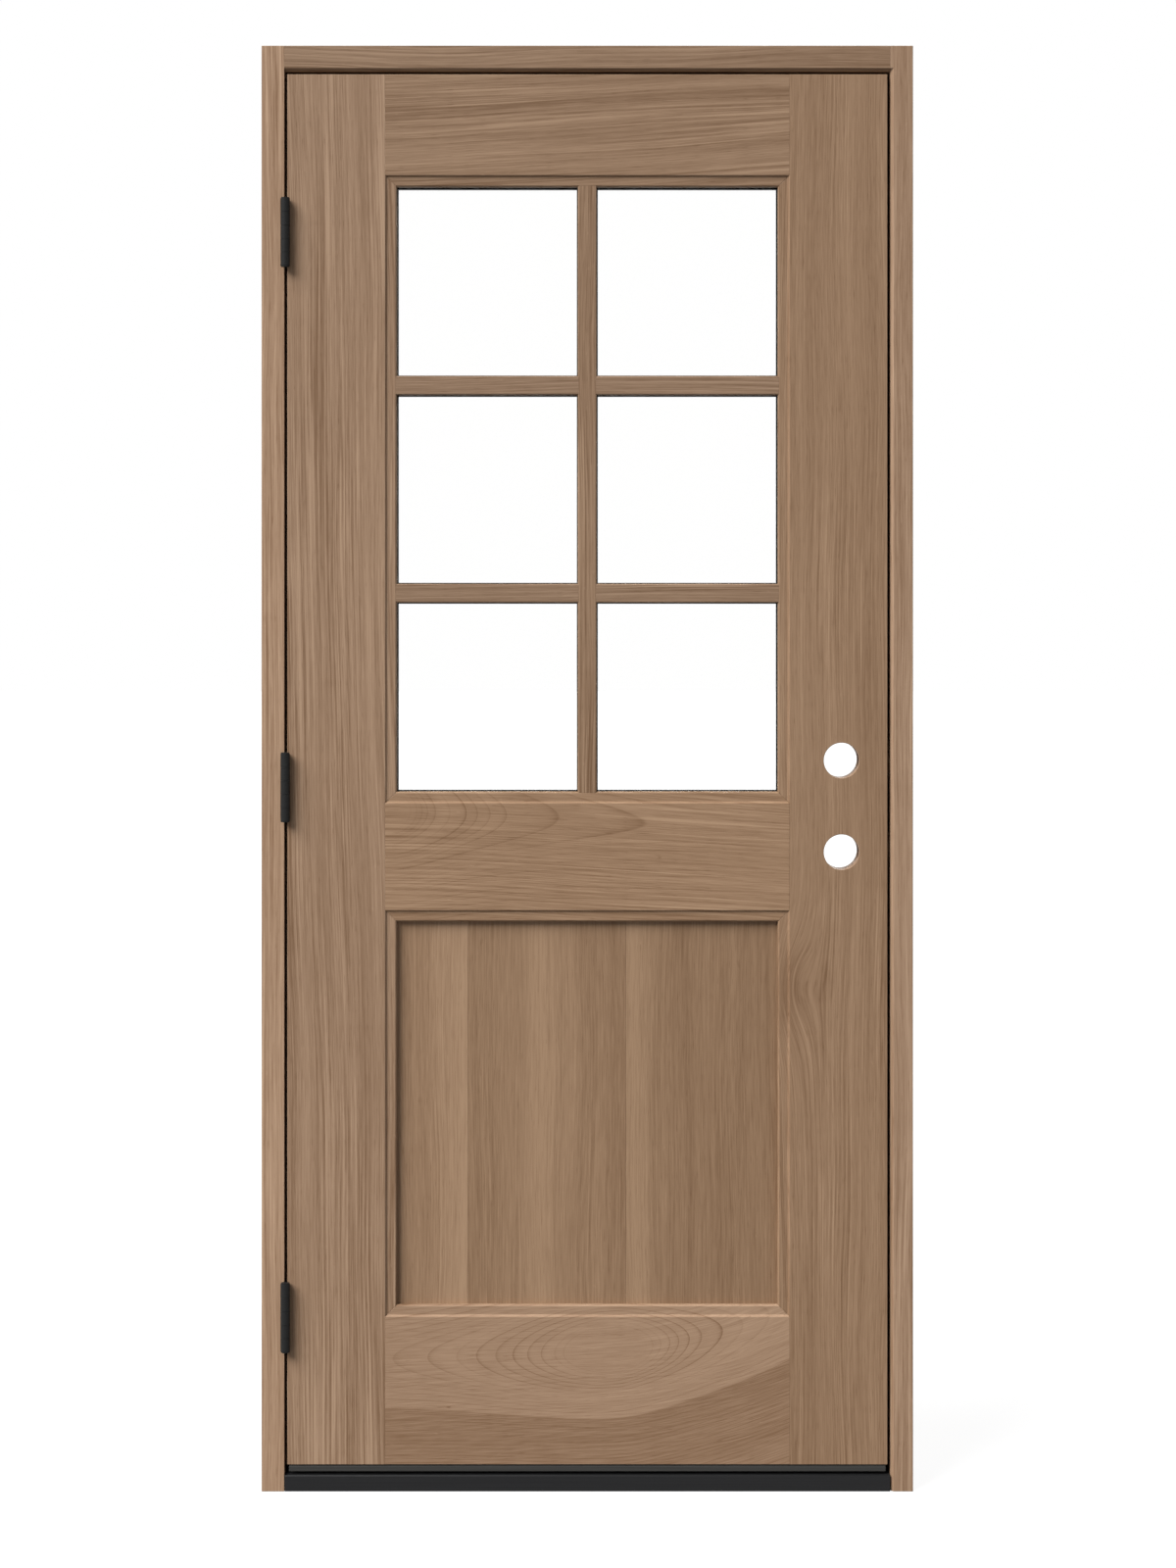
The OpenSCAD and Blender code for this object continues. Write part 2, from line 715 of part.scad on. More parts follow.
module lock_stile() {
  color(OAK) difference() {
    stile_blank();
    for (z = bore_heights) {
      translate([lock_x, slab_y - eps, z]) rotate([-90, 0, 0])
        cylinder(h = slab_t + 2 * eps, d = lock_bore_d);
      translate([lock_x, slab_mid_y, z]) rotate([0, 90, 0])
        cylinder(h = backset + eps, d = latch_bore_d);
      translate([slab_w / 2 - face_plate_d, slab_mid_y, z])
        rounded_slot(face_plate_d + eps, plate_w, plate_h, plate_r);
    }
  }
}

// A rail's plain body between the stiles
module rail_block(z, h) {
  block([-bay_w / 2, slab_y, z], [bay_w / 2, slab_y + slab_t, z + h]);
}

module top_rail() {
  color(OAK) difference() {
    union() {
      rail_block(top_rail_z, top_rail_h);
      along_rail(bay_w, top_rail_z, false) mitred(bay_w, stick_w) glass_section();
    }
    both_sides() dowel_bores(top_dowels);
  }
}

module lock_rail() {
  color(OAK) difference() {
    union() {
      rail_block(lock_rail_z, lock_rail_h);
      along_rail(bay_w, glass_z, true) mitred(bay_w, stick_w) glass_section();
      along_rail(bay_w, lock_rail_z, false) mitred(bay_w, stick_w) panel_section();
    }
    both_sides() dowel_bores(lock_dowels);
  }
}

module bottom_rail() {
  color(OAK) difference() {
    union() {
      rail_block(slab_lift, bottom_rail_h);
      along_rail(bay_w, panel_z, true) mitred(bay_w, stick_w) panel_section();
    }
    both_sides() dowel_bores(bottom_dowels);
    sweep_screw_holes();
  }
}

module rail_dowels() {
  color(OAK) both_sides() for (z = all_dowels)
    translate([bay_w / 2 - dowel_l / 2, slab_mid_y, z]) rotate([0, 90, 0]) cylinder(h = dowel_l, d = dowel_d);
}

// One edge-glued board of the flat panel
module stave(x0, x1) {
  y0 = slab_mid_y - panel_t / 2;
  u = groove_u + panel_end_gap;
  color(OAK) block([x0, y0, panel_z + u], [x1, y0 + panel_t, lock_rail_z - u]);
}

panel_x = bay_w / 2 - groove_u - panel_end_gap;

module hinge_side_stave() {
  stave(-panel_x, seam_left_x);
}

module middle_stave() {
  stave(seam_left_x, seam_right_x);
}

module lock_side_stave() {
  stave(seam_right_x, panel_x);
}

// One pane, its outer face at depth y behind the slab's face
module pane(y) {
  color([0.85, 0.93, 0.92, 0.4])
    block([glass_u - bay_w / 2, slab_y + y, glass_z + glass_u],
      [bay_w / 2 - glass_u, slab_y + y + pane_t, top_rail_z - glass_u]);
}

module outer_pane() {
  pane(glass_y);
}

module inner_pane() {
  pane(glass_y + pane_t + cavity);
}

cavity_y = glass_y + pane_t;
spacer_u = glass_u + edge_seal_w;
sight_u = stick_w + sight_line;

module glass_spacer() {
  color(BLACK) bay_ring(spacer_u, sight_u, cavity_y, cavity_y + cavity);
}

module glass_edge_seal() {
  color(BLACK) bay_ring(glass_u, spacer_u, cavity_y, cavity_y + cavity);
}

// Metal bars in the cavity, in line with the muntins
module glass_grid() {
  w = muntin_w / 2 + sight_line;
  y0 = slab_y + cavity_y + (cavity - grid_t) / 2;
  color(BLACK) {
    block([-w, y0, glass_z + sight_u], [w, y0 + grid_t, top_rail_z - sight_u]);
    for (z = bar_rows)
      block([sight_u - bay_w / 2, y0, glass_z + stick_w + z - w],
        [bay_w / 2 - sight_u, y0 + grid_t, glass_z + stick_w + z + w]);
  }
}

module setting_blocks() {
  for (s = [-1, 1])
    color(BLACK) translate([s * bay_w / 4, 0, 0])
      block([-block_l / 2, slab_y + glass_y, glass_z + rabbet_in],
        [block_l / 2, slab_y + glass_y + glass_t, glass_z + glass_u]);
}

module front_glazing_tape() {
  color(BLACK) bay_ring(stick_w - tape_w, stick_w - tape_in, lip_t, lip_t + tape_t);
}

module back_glazing_tape() {
  color(BLACK) bay_ring(stick_w - tape_w, stick_w - tape_in, bead_y - tape_t, bead_y);
}

// A muntin bar up Z from the origin: t thick, its ends lapping a bevel by lap0 and lap1
module muntin(len, t, lap0, lap1) {
  w = muntin_w / 2;
  e = muntin_ease;
  intersection() {
    translate([0, 0, -arris]) linear_extrude(len + 2 * arris)
      polygon([[-w, e], [e - w, 0], [w - e, 0], [w, e], [w, t], [-w, t]]);
    translate([-w - eps, 0, 0]) rotate([90, 0, 90]) linear_extrude(2 * (w + eps))
      polygon([[t, 0], [lap0, 0], [0, -lap0], [0, len + lap1], [lap1, len], [t, len]]);
  }
}

// The upright and the four short bars of one face of the glazing
module upright(t) {
  translate([0, 0, glass_z + stick_w]) muntin(clear_h, t, arris, arris);
}

module bars(t) {
  len = (clear_w - muntin_w) / 2;
  for (z = bar_rows) both_sides()
    translate([muntin_w / 2, 0, glass_z + stick_w + z]) rotate([0, 90, 0]) muntin(len, t, muntin_ease, arris);
}

front_bar_t = glass_y - step_d;
back_bar_t = slab_t - step_d - glass_y - glass_t;

module on_front() {
  color(OAK) translate([0, slab_y + step_d, 0]) children();
}

module on_back() {
  color(OAK) translate([0, slab_y + slab_t - step_d, 0]) mirror([0, 1, 0]) children();
}

module front_muntin_upright() {
  on_front() upright(front_bar_t);
}

module front_muntin_bars() {
  on_front() bars(front_bar_t);
}

module back_muntin_upright() {
  on_back() upright(back_bar_t);
}

module back_muntin_bars() {
  on_back() bars(back_bar_t);
}

bead_l = bay_w - 2 * rabbet_in;
bead_h = glass_bay_h - 2 * rabbet_in;

module top_bead() {
  color(OAK) along_rail(bead_l, top_rail_z - rabbet_in, false)
    mitred(bead_l, stick_w - rabbet_in) bead_section();
}

module bottom_bead() {
  color(OAK) along_rail(bead_l, glass_z + rabbet_in, true)
    mitred(bead_l, stick_w - rabbet_in) bead_section();
}

module hinge_side_bead() {
  color(OAK) translate([-bead_l / 2, slab_y, glass_z + rabbet_in])
    mitred(bead_h, stick_w - rabbet_in) bead_section();
}

module lock_side_bead() {
  mirror([1, 0, 0]) hinge_side_bead();
}

// A channel under the slab, set back from its face by a shadow line
module door_sweep() {
  plate_z = sweep_top - sweep_wall;
  color(GREY) difference() {
    across(slab_w - 2 * sweep_inset) polygon([[sweep_front + sweep_shadow_d, slab_lift],
      [sweep_front + sweep_shadow_d, sweep_top], [sweep_front, sweep_top], [sweep_front, sweep_bottom],
      [sweep_front + sweep_wall, sweep_bottom], [sweep_front + sweep_wall, plate_z],
      [sweep_back - sweep_wall, plate_z], [sweep_back - sweep_wall, sweep_bottom],
      [sweep_back, sweep_bottom], [sweep_back, slab_lift]]);
    for (x = sweep_screw_xs)
      translate([x, sweep_screw_y, 0]) cylinder(h = slab_lift + eps, r = sweep_screw_r + screw_clear);
  }
}

module sweep_fins() {
  fin_top = sweep_top - sweep_wall;
  color(BLACK) across(slab_w - 2 * sweep_inset) for (y = fin_ys)
    translate([y - fin_t / 2, deck_h + fin_clear]) square([fin_t, fin_top - deck_h - fin_clear]);
}

// Pan-head screws that hold the sweep
module sweep_screws() {
  head_h = sweep_screw_r;
  head_z = sweep_top - sweep_wall - head_h;
  color(STEEL) for (x = sweep_screw_xs) translate([x, sweep_screw_y, head_z]) difference() {
    union() {
      cylinder(h = head_h, r = sweep_screw_r * screw_head);
      cylinder(h = slab_lift - head_z + sweep_screw_l - eps, r = sweep_screw_r);
    }
    for (a = [0, 90])
      rotate([0, 0, a]) block([-sweep_screw_r * slot_share / 2, -sweep_screw_r, -eps],
        [sweep_screw_r * slot_share / 2, sweep_screw_r, slot_d]);
  }
}

module top_hinge_door_leaf() {
  door_leaf(top_hinge_z);
}

module middle_hinge_door_leaf() {
  door_leaf(middle_hinge_z);
}

module bottom_hinge_door_leaf() {
  door_leaf(bottom_hinge_z);
}

module hinge_door_screws() {
  color(BLACK) at_leaf_screws(1) screw(hinge_screw_l, hinge_screw_r);
}

hinge_jamb();
strike_jamb();
head_jamb();
hinge_side_seal();
strike_side_seal();
head_seal();
sill_base();
sill_deck();
sill_saddle();
sill_seal();
head_screws();
sill_screws();
top_hinge_frame_leaf();
middle_hinge_frame_leaf();
bottom_hinge_frame_leaf();
top_hinge_pin();
middle_hinge_pin();
bottom_hinge_pin();
hinge_frame_screws();
hinge_stile();
lock_stile();
top_rail();
lock_rail();
bottom_rail();
rail_dowels();
hinge_side_stave();
middle_stave();
lock_side_stave();
outer_pane();
inner_pane();
glass_spacer();
glass_grid();
glass_edge_seal();
setting_blocks();
front_glazing_tape();
back_glazing_tape();
front_muntin_upright();
front_muntin_bars();
back_muntin_upright();
back_muntin_bars();
top_bead();
bottom_bead();
hinge_side_bead();
lock_side_bead();
door_sweep();
sweep_fins();
sweep_screws();
top_hinge_door_leaf();
middle_hinge_door_leaf();
bottom_hinge_door_leaf();
hinge_door_screws();
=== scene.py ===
# %% [markdown]
# # A glazed front door in its frame
# The solids of this door come from its CAD source and are already in place, in metres: X to the right, Y
# away from the viewer, Z up. This lesson gives them their looks. It sets the camera, lights a small
# studio, builds a timber shader with real grain, and then finishes metal, rubber and glass.

import math

import bpy
import numpy as np
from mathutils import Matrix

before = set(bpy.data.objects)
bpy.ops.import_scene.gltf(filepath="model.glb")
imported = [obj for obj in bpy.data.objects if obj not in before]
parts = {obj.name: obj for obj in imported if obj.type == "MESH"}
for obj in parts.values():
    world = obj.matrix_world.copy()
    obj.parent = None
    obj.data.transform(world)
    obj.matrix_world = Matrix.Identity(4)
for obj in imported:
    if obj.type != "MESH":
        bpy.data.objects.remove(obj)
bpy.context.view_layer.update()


# %% [markdown]
# ## Camera
# The door was photographed straight on, from a little under eye height, with the camera held level. A
# tilted camera would make the jambs lean, so the level camera is kept and its picture is shifted down
# instead, as with a shift lens. The lens follows from how much of the lock bores' walls shows.

# %% Camera
SENSOR_WIDTH = 36.0  # millimetres
FOCAL_LENGTH = 68.43  # millimetres
SHIFT_RIGHT = 0.0019  # as a share of the picture's height
SHIFT_DOWN = 0.1169
STANDPOINT = (-0.0035, -4.598, 1.357)

viewpoint = bpy.data.cameras.new("viewpoint")
viewpoint.sensor_width = SENSOR_WIDTH
viewpoint.lens = FOCAL_LENGTH
viewpoint.shift_x = SHIFT_RIGHT
viewpoint.shift_y = -SHIFT_DOWN
camera = bpy.data.objects.new("viewpoint", viewpoint)
camera.location = STANDPOINT
camera.rotation_euler = (math.radians(90), 0, 0)
bpy.context.scene.collection.objects.link(camera)
bpy.context.scene.camera = camera
print("camera", tuple(round(x, 3) for x in camera.location))

# %% [markdown]
# ## Wiring nodes
# A material is a graph of nodes. Writing each node and each link on a line of its own makes long cells,
# so this small helper adds a node and fills its sockets in one go: a number or colour is set on the
# socket, and the output of another node is linked to it. Its sums are methods with plain names.


# %% Wiring helper
class Wiring:
    """Adds nodes to one node tree and joins their sockets."""

    def __init__(self, tree):
        self.tree = tree

    def add(self, kind, inputs=None, **settings):
        """A new node with its settings made and its inputs set or linked."""
        node = self.tree.nodes.new(kind)
        for name, value in settings.items():
            setattr(node, name, value)
        for name, value in (inputs or {}).items():
            socket = node.inputs[name]
            if isinstance(value, bpy.types.NodeSocket):
                self.tree.links.new(value, socket)
            else:
                socket.default_value = value
        return node

    def math(self, operation, *values):
        """The result of one Math node."""
        return self.add("ShaderNodeMath", dict(enumerate(values)), operation=operation).outputs[0]

    def plus(self, first, second):
        """first + second"""
        return self.math("ADD", first, second)

    def minus(self, first, second):
        """first - second"""
        return self.math("SUBTRACT", first, second)

    def times(self, first, second):
        """first * second"""
        return self.math("MULTIPLY", first, second)

    def over(self, first, second):
        """first / second"""
        return self.math("DIVIDE", first, second)

    def square(self, value):
        """value * value"""
        return self.times(value, value)

    def scaled(self, value, factor, offset):
        """value * factor + offset"""
        return self.math("MULTIPLY_ADD", value, factor, offset)

    def decay(self, value, rate=1.0):
        """e to the power -rate * value: 1 where the value is 0, and close to 0 where it is large."""
        return self.math("EXPONENT", self.times(value, -rate))

    def vector(self, x, y, z):
        """Three values as one vector."""
        return self.add("ShaderNodeCombineXYZ", {0: x, 1: y, 2: z}).outputs[0]

    def noise(self, at, detail, roughness=0.5):
        """Soft noise from 0 to 1; detail counts its finer layers, and roughness is their strength."""
        settings = {"Vector": at, "Scale": 1.0, "Detail": detail, "Roughness": roughness}
        return self.add("ShaderNodeTexNoise", settings).outputs[0]

    def ramp(self, value, low, high, out_low=0.0, out_high=1.0):
        """A smooth step from out_low, where the value is at low, to out_high, where it is at high."""
        return self.add("ShaderNodeMapRange", {0: value, 1: low, 2: high, 3: out_low, 4: out_high},
                        interpolation_type="SMOOTHSTEP").outputs[0]

    def blend(self, factor, first, second):
        """The first colour where the factor is 0, and the second where it is 1."""
        return self.add("ShaderNodeMix", {0: factor, 6: first, 7: second}, data_type="RGBA").outputs[2]


print("wiring helper with", sum(not name.startswith("_") for name in vars(Wiring)), "methods")

# %% [markdown]
# ## Floor
# The door stands on a pale studio floor that runs out of sight. A flat sheet is enough, made here as a
# grid of points. The camera sees it as white with a soft shadow; all other light meets a matt grey floor,
# so that little light comes back up and the undersides of the mouldings stay dark.


# %% Floor sheet
def sheet(name, x_span, y_span, z, count):
    """A level sheet: x and y run evenly over their spans and z is constant."""
    x, y = np.meshgrid(np.linspace(*x_span, count), np.linspace(*y_span, count))
    points = np.stack([x, y, np.full_like(x, z)], -1).reshape(-1, 3)
    corner = (np.arange(count - 1)[:, None] * count + np.arange(count - 1)).ravel()
    faces = np.stack([corner, corner + 1, corner + count + 1, corner + count], -1)
    mesh = bpy.data.meshes.new(name)
    mesh.from_pydata(points.tolist(), [], faces.tolist())
    piece = bpy.data.objects.new(name, mesh)
    bpy.context.scene.collection.objects.link(piece)
    return piece


FLOOR_SPAN = (-40, 40)
FLOOR_LEVEL = -0.0005  # just under the feet of the frame
FLOOR_POINTS = 9  # along each side
floor = sheet("studio_floor", FLOOR_SPAN, FLOOR_SPAN, FLOOR_LEVEL, FLOOR_POINTS)
print("floor", len(floor.data.polygons), "faces")


# %% Floor paint
def new_material(name):
    """An empty node material and its wiring helper."""
    material = bpy.data.materials.new(name)
    material.use_nodes = True
    material.node_tree.nodes.clear()
    return material, Wiring(material.node_tree)


def seen_directly(w):
    """1 for rays that come from the camera, a mirror-like surface or clear glass, and 0 for all others."""
    path = w.add("ShaderNodeLightPath").outputs
    either = w.math("MAXIMUM", path["Is Camera Ray"], path["Is Glossy Ray"])
    return w.math("MAXIMUM", either, path["Is Transmission Ray"])


def grey(value):
    """A grey whose red, green and blue are all the value."""
    return (value, value, value, 1.0)


SEEN_GREY = 0.20  # takes the shadow
SEEN_GLOW = 0.84  # lifts the rest to white
MATT_GREY = 0.10
floor_paint, w = new_material("pale_floor")
shade = w.add("ShaderNodeBsdfDiffuse", {"Color": grey(SEEN_GREY)})
glow = w.add("ShaderNodeEmission", {"Color": grey(1.0), "Strength": SEEN_GLOW})
white = w.add("ShaderNodeAddShader", {0: shade.outputs[0], 1: glow.outputs[0]})
matt = w.add("ShaderNodeBsdfDiffuse", {"Color": grey(MATT_GREY)})
both = w.add("ShaderNodeMixShader", {0: seen_directly(w), 1: matt.outputs[0], 2: white.outputs[0]})
w.add("ShaderNodeOutputMaterial", {"Surface": both.outputs[0]})
floor.data.materials.append(floor_paint)
print("floor paint", len(w.tree.nodes), "nodes")

# %% [markdown]
# ## Light
# The shadow beside each hinge falls to the right and a little down, so the main light stands to the upper
# left, and its soft edge says that it is large. A sun lamp with a wide angle gives an even, soft light over
# the whole height of the door. The world adds the light that comes from all round, and a weaker lamp
# behind keeps the inside face readable. For the camera the world is plain white.


# %% Light
def lamp(name, towards, strength, angle):
    """A sun lamp that shines along the direction towards, softened over an angle in degrees."""
    data = bpy.data.lights.new(name, "SUN")
    data.energy = strength
    data.angle = math.radians(angle)
    piece = bpy.data.objects.new(name, data)
    x, y, z = towards
    piece.rotation_euler = (math.atan2(math.hypot(x, y), -z), 0, math.atan2(y, x) - math.pi / 2)
    bpy.context.scene.collection.objects.link(piece)


lamp("main_light", towards=(1.2, 1.0, -1.45), strength=5.0, angle=40)
lamp("back_light", towards=(-0.5, -1.0, -0.8), strength=2.0, angle=40)

ROOM_LIGHT = 0.30  # what the world gives to the door, where 1 is white
world = bpy.data.worlds.new("studio")
world.use_nodes = True
world.node_tree.nodes.clear()
w = Wiring(world.node_tree)
strength = w.plus(w.times(seen_directly(w), 1.0 - ROOM_LIGHT), ROOM_LIGHT)
sky = w.add("ShaderNodeBackground", {"Color": grey(1.0), "Strength": strength})
w.add("ShaderNodeOutputWorld", {"Surface": sky.outputs[0]})
bpy.context.scene.world = world
bpy.context.scene.view_settings.view_transform = "Standard"

# %% [markdown]
# ## Timber: the figure of the grain
# Sawn timber shows the tree's growth rings cut open. Where a board is cut along the heart the rings show
# as ovals and pointed arches, and further out as nearly straight lines. One field describes all of them:
# the distance from a heart that is drawn out along the grain. Lines at equal distance are ovals round the
# heart and straight stripes far from it. Noise bends the lines, and each ring gets its own darkness.
# Built once as a node group, it is placed in each board's material with the board's own numbers.

# %% Timber group: sockets
# Places and widths are in metres. A heart that is stretched 60 times gives straight grain, and one that is
# stretched once or twice gives ovals and arches.
BOARD_INPUTS = {
    "Along": 0.0, "Depth": 0.0, "Across": 0.0, "Seed": 0.0,
    "Heart along": 0.0, "Heart across": 1.9, "Stretch back": 60.0, "Stretch ahead": 60.0, "Reach": 10.0,
    "Lean": 0.0, "Sweep": 0.0, "Wander": 0.010,
    "Eye along": 0.0, "Eye across": 0.0, "Eye size": 0.02, "Eye push": 0.0, "Eye dark": 0.0,
    "Ring width": 0.008, "Ring strength": 0.25,
    "Band strength": 0.5, "Streak strength": 0.7, "Fibre strength": 0.95,
    "Pale at": 0.0, "Pale width": 0.02, "Pale strength": 0.0,
    "Dark from": 10.0, "Dark strength": 0.0,
}
SEED_STEP = 7.31  # moves each board to a noise of its own

grain = bpy.data.node_groups.new("timber_grain", "ShaderNodeTree")
for name, value in BOARD_INPUTS.items():
    grain.interface.new_socket(name, in_out="INPUT", socket_type="NodeSocketFloat").default_value = value
for name in ("Light tone", "Dark tone"):
    grain.interface.new_socket(name, in_out="INPUT", socket_type="NodeSocketColor")
grain.interface.new_socket("Color", in_out="OUTPUT", socket_type="NodeSocketColor")
for name in ("Roughness", "Height"):
    grain.interface.new_socket(name, in_out="OUTPUT", socket_type="NodeSocketFloat")
w = Wiring(grain)
given = w.add("NodeGroupInput").outputs
along = given["Along"]
across = given["Across"]
depth = given["Depth"]
shift = w.times(given["Seed"], SEED_STEP)
print("timber group has", len(BOARD_INPUTS) + 2, "inputs")

# %% Timber group: a slow wave and an eye
# The wave is noise about 0. An eye is a place where a small branch pushed the grain aside: eye is 0 at its
# middle and grows with the square of the distance from it.
WAVES_ALONG = 1.7  # per metre
WAVES_ACROSS = 7.0
WAVES_DEEP = 6.0
WAVE_SWING = 3.0  # noise seldom leaves its middle third
NOISE_MIDDLE = 0.5
EYE_LENGTH = 2.2  # times its width

wave_at = w.vector(w.scaled(along, WAVES_ALONG, shift), w.times(depth, WAVES_DEEP),
                   w.scaled(across, WAVES_ACROSS, shift))
swing = w.times(given["Wander"], WAVE_SWING)
wave = w.times(w.minus(w.noise(wave_at, detail=1.0), NOISE_MIDDLE), swing)
eye_along = w.over(w.minus(along, given["Eye along"]), w.times(given["Eye size"], EYE_LENGTH))
eye_across = w.over(w.minus(across, given["Eye across"]), given["Eye size"])
eye = w.plus(w.square(eye_along), w.square(eye_across))
push = w.times(w.decay(eye), given["Eye push"])
print("wave and eye", len(grain.nodes), "nodes")

# %% Timber group: distance from the heart
# u runs along the grain from the heart and v across it; v follows the grain's lean and sweep, the wave and
# the eye's push. The distance is the root of (u / stretch)^2 + v^2 + depth^2, where u / stretch levels off
# at the reach.
u = w.minus(along, given["Heart along"])
ahead = w.math("MAXIMUM", u, 0.0)
back = w.math("MAXIMUM", w.times(u, -1.0), 0.0)
bend = w.plus(w.times(given["Lean"], u), w.times(given["Sweep"], w.square(ahead)))
v = w.minus(w.minus(across, given["Heart across"]), bend)
v = w.plus(w.plus(v, wave), push)
drawn = w.plus(w.over(back, given["Stretch back"]), w.over(ahead, given["Stretch ahead"]))
level = w.decay(w.over(drawn, given["Reach"]))
drawn = w.times(given["Reach"], w.minus(1.0, level))
squares = w.plus(w.square(drawn), w.square(v))
distance = w.math("SQRT", w.plus(squares, w.square(depth)))
print("distance field", len(grain.nodes), "nodes")

# %% Timber group: rings
# A ring darkens towards its late wood and ends sharply. White noise, read by the ring's number, gives each
# ring its own darkness, and slow noise lets a line fade out and come back along its length. Close to the
# heart the wood is calm: its lines are weak.
DRIFT_ACROSS = 45.0  # changes of ring width per metre
DRIFT_ALONG = 1.3
DRIFT = 2.6  # ring widths
LATE_WOOD = 9.0  # the higher this power, the thinner the dark line
FADES_ALONG = 5.0  # per metre
FADES_ACROSS = 30.0
WEAKEST_RING = 0.35

drift_at = w.vector(w.scaled(distance, DRIFT_ACROSS, shift), w.times(along, DRIFT_ALONG), shift)
drift = w.times(w.noise(drift_at, detail=1.0), DRIFT)
phase = w.plus(w.over(distance, given["Ring width"]), drift)
late = w.math("FRACT", phase)
number = w.plus(w.math("FLOOR", phase), shift)
own = w.add("ShaderNodeTexWhiteNoise", {"W": number}, noise_dimensions="1D").outputs[0]
line = w.times(w.math("POWER", late, LATE_WOOD), w.ramp(late, low=1.0, high=0.94))
fade_at = w.vector(w.scaled(along, FADES_ALONG, shift), depth, w.times(distance, FADES_ACROSS))
fade = w.ramp(w.noise(fade_at, detail=1.0), low=0.3, high=0.6, out_low=0.3)
calm = w.ramp(distance, low=0.024, high=0.048, out_low=0.06)
darkness = w.scaled(own, 1.0 - WEAKEST_RING, WEAKEST_RING)
rings = w.times(w.times(line, darkness), w.times(fade, calm))
print("rings", len(grain.nodes), "nodes")

# %% Timber group: bands, streaks, fibres and pores
# All of these are noise that is stretched along the grain and squeezed across it, from broad bands of
# colour down to single pores. Bands follow the rings; the wood's own fibres run straight along the board,
# so all finer marks follow v. A slow noise makes some stretches of a board plain and others lively.
MARK_ROUGHNESS = 0.6


def marks(position, per_metre_along, per_metre_across, detail):
    """Noise whose marks are long along the grain and narrow across it."""
    at = w.vector(w.scaled(along, per_metre_along, shift), w.times(depth, per_metre_across),
                  w.scaled(position, per_metre_across, shift))
    return w.noise(at, detail, MARK_ROUGHNESS)


bands = marks(distance, per_metre_along=0.8, per_metre_across=36.0, detail=2.0)
streaks = marks(v, per_metre_along=2.6, per_metre_across=300.0, detail=3.0)
fibres = marks(v, per_metre_along=18.0, per_metre_across=640.0, detail=2.0)
threads = marks(v, per_metre_along=2.2, per_metre_across=330.0, detail=0.0)
threads = w.ramp(threads, low=0.64, high=0.76)
pores = marks(v, per_metre_along=40.0, per_metre_across=1000.0, detail=0.0)
pores = w.ramp(pores, low=0.66, high=0.80)
flecks = marks(v, per_metre_along=60.0, per_metre_across=160.0, detail=1.0)
flecks = w.ramp(flecks, low=0.70, high=0.85)
lively = marks(v, per_metre_along=1.6, per_metre_across=14.0, detail=1.0)
lively = w.ramp(lively, low=0.36, high=0.64, out_low=0.45, out_high=1.5)
print("grain marks", len(grain.nodes), "nodes")

# %% Timber group: pale streak, dark part and knot
# A board may have a pale streak at one place across it, a darker part outside one of its rings, which is
# darkest along that ring, and a dark knot in its eye.
KNOT_RATE = 2.0  # the knot is narrower than the push of the eye

from_pale = w.over(w.minus(w.plus(across, wave), given["Pale at"]), given["Pale width"])
pale = w.decay(w.square(from_pale))
past = w.minus(distance, given["Dark from"])
dark_edge = w.ramp(past, low=0.0, high=0.007)
dark_part = w.ramp(past, low=0.008, high=0.06, out_low=1.0, out_high=0.62)
dark = w.times(dark_edge, dark_part)
knot = w.decay(eye, KNOT_RATE)
print("pale, dark and knot", len(grain.nodes), "nodes")

# %% Timber group: colour, roughness and height
# The tone starts in the middle, and each mark adds (mark - its usual value) * strength * factor. The factor
# is below 0 where the mark darkens the wood.
ROUGH_DARK = 0.62
ROUGH_PALE = 0.46
FIBRE_HEIGHT = 0.5
RING_DEPTH = 0.3
PORE_DEPTH = 0.6

tone = 0.5
for mark, usual, strength, factor in (
        (bands, NOISE_MIDDLE, "Band strength", calm),
        (streaks, NOISE_MIDDLE, "Streak strength", lively),
        (fibres, NOISE_MIDDLE, "Fibre strength", 1.0),
        (threads, 0.1, "Streak strength", w.times(lively, 0.22)),
        (rings, 0.04, "Ring strength", -1.0),
        (pores, 0.1, "Fibre strength", -0.25),
        (flecks, 0.02, "Fibre strength", 0.2),
        (pale, 0.0, "Pale strength", 1.0),
        (dark, 0.0, "Dark strength", -1.0),
        (knot, 0.0, "Eye dark", -1.0)):
    part = w.times(w.minus(mark, usual), w.times(given[strength], factor))
    tone = w.plus(tone, part)
tone = w.add("ShaderNodeClamp", {"Value": tone}).outputs[0]
colour = w.blend(tone, given["Dark tone"], given["Light tone"])
roughness = w.scaled(tone, ROUGH_PALE - ROUGH_DARK, ROUGH_DARK)
height = w.scaled(fibres, FIBRE_HEIGHT, w.times(rings, -RING_DEPTH))
height = w.minus(height, w.times(pores, PORE_DEPTH))
w.add("NodeGroupOutput", {"Color": colour, "Roughness": roughness, "Height": height})
print("timber group", len(grain.nodes), "nodes")

# %% [markdown]
# ## Timber: one board, one material
# A joiner picks boards that go together, yet no two are alike. So each timber piece gets a material of its
# own: the direction of its grain, its shade next to the others, and the figure that shows on its face. The
# bottom rail is cut close to the heart and shows ovals; the lock rail has arches at its hinge end; stiles,
# jambs and staves are straight-grained, apart from a swirl in the lock stile.


# %% Timber material
def linear(red, green, blue):
    """Colour from 0-255 screen values: each v becomes ((v / 255 + 0.055) / 1.055) to the power 2.4."""
    return tuple(((v / 255 + 0.055) / 1.055) ** 2.4 for v in (red, green, blue)) + (1.0,)


def dress(piece, material):
    """Gives a piece one material, in place of what it came with."""
    parts[piece].data.materials.clear()
    parts[piece].data.materials.append(material)


